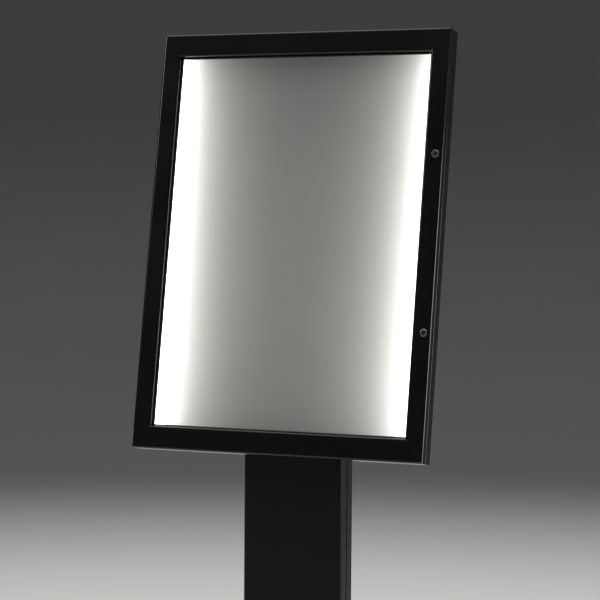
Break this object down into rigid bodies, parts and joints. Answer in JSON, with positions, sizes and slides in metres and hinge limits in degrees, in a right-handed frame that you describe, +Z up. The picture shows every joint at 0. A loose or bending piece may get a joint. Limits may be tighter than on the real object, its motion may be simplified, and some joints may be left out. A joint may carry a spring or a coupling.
{
  "type": "menu display case",
  "caption": "Free-standing lit menu case: a lockable glazed door with side light strips, leaning back on a flat black post with a rectangular base plate.",
  "frame": {"origin": "middle of the base plate's underside, on the ground", "axes": "+Z up along the post; the window faces -Y; +X is the viewer's right, the lock side"},
  "size_m": [0.5, 0.4, 1.6482],
  "materials": {
    "black_coated_steel": "fine-textured black powder coat on mild steel",
    "black_coated_aluminium": "satin black powder coat on extruded aluminium",
    "grey_enamel": "light grey enamelled steel sheet",
    "clear_pane": "clear polished acrylic",
    "opal_cover": "opal polycarbonate, lit from behind",
    "mill_aluminium": "mill-finish aluminium",
    "zinc_steel": "bright zinc plate",
    "black_zinc": "black zinc plate",
    "chrome": "polished chrome plate",
    "rubber": "black EPDM rubber",
    "board": "white solder-masked circuit board",
    "chip": "phosphor-coated light chips",
    "black_nylon": "moulded black nylon",
    "driver": "moulded white polycarbonate",
    "lead": "black PVC sheath"
  },
  "bodies": {
    "stand": {"base_plate": "black_coated_steel", "post_foot_plate": "black_coated_steel", "foot_bolts": "zinc_steel", "post_channel": "black_coated_steel", "post_rear_cover": "black_coated_steel", "cover_screws": "black_zinc", "post_cap": "black_nylon", "tilt_bracket": "black_coated_steel", "bracket_nuts": "zinc_steel", "bracket_screws": "black_zinc", "case_profile_left": "black_coated_aluminium", "case_profile_right": "black_coated_aluminium", "case_profile_bottom": "black_coated_aluminium", "case_profile_top": "black_coated_aluminium", "case_corner_keys": "mill_aluminium", "case_back_sheet": "black_coated_aluminium", "magnetic_liner": "grey_enamel", "case_seal": "rubber", "left_led_channel": "mill_aluminium", "right_led_channel": "mill_aluminium", "left_led_diffuser": "opal_cover", "right_led_diffuser": "opal_cover", "left_led_board": "board", "right_led_board": "board", "left_led_chips": "chip", "right_led_chips": "chip", "led_end_caps": "black_nylon", "lead_splitter": "black_nylon", "left_led_lead": "lead", "right_led_lead": "lead", "lead_grommet": "rubber", "post_lead": "lead", "led_driver": "driver", "driver_nuts": "zinc_steel", "cable_gland": "black_nylon", "gland_locknut": "black_nylon", "hinge_case_leaf": "black_coated_steel", "hinge_pin": "zinc_steel", "hinge_case_rivets": "black_zinc"},
    "door": {"door_hinge_stile": "black_coated_aluminium", "door_lock_stile": "black_coated_aluminium", "door_bottom_rail": "black_coated_aluminium", "door_top_rail": "black_coated_aluminium", "door_corner_keys": "mill_aluminium", "door_pane": "clear_pane", "pane_gasket": "rubber", "glazing_beads": "black_coated_aluminium", "bead_screws": "black_zinc", "hinge_door_leaf": "black_coated_steel", "hinge_door_rivets": "black_zinc", "upper_lock_barrel": "chrome", "lower_lock_barrel": "chrome", "lock_nuts": "zinc_steel"},
    "upper_lock": {"upper_lock_spindle": "chrome", "upper_lock_cam": "zinc_steel", "upper_cam_screw": "zinc_steel"},
    "lower_lock": {"lower_lock_spindle": "chrome", "lower_lock_cam": "zinc_steel", "lower_cam_screw": "zinc_steel"}
  },
  "joints": [
    {"name": "door_hinge", "type": "hinge", "parent": "stand", "child": "door", "pos_m": [-0.2435, -0.03147, 1.32013], "axis": [0, -0.1736, -0.9848], "range_deg": [0, 170]},
    {"name": "upper_lock_turn", "type": "hinge", "parent": "door", "child": "upper_lock", "pos_m": [0.229, -0.00712, 1.45393], "axis": [0, -0.9848, 0.1736], "range_deg": [0, 90]},
    {"name": "lower_lock_turn", "type": "hinge", "parent": "door", "child": "lower_lock", "pos_m": [0.229, -0.05435, 1.18607], "axis": [0, -0.9848, 0.1736], "range_deg": [0, 90]}
  ]
}
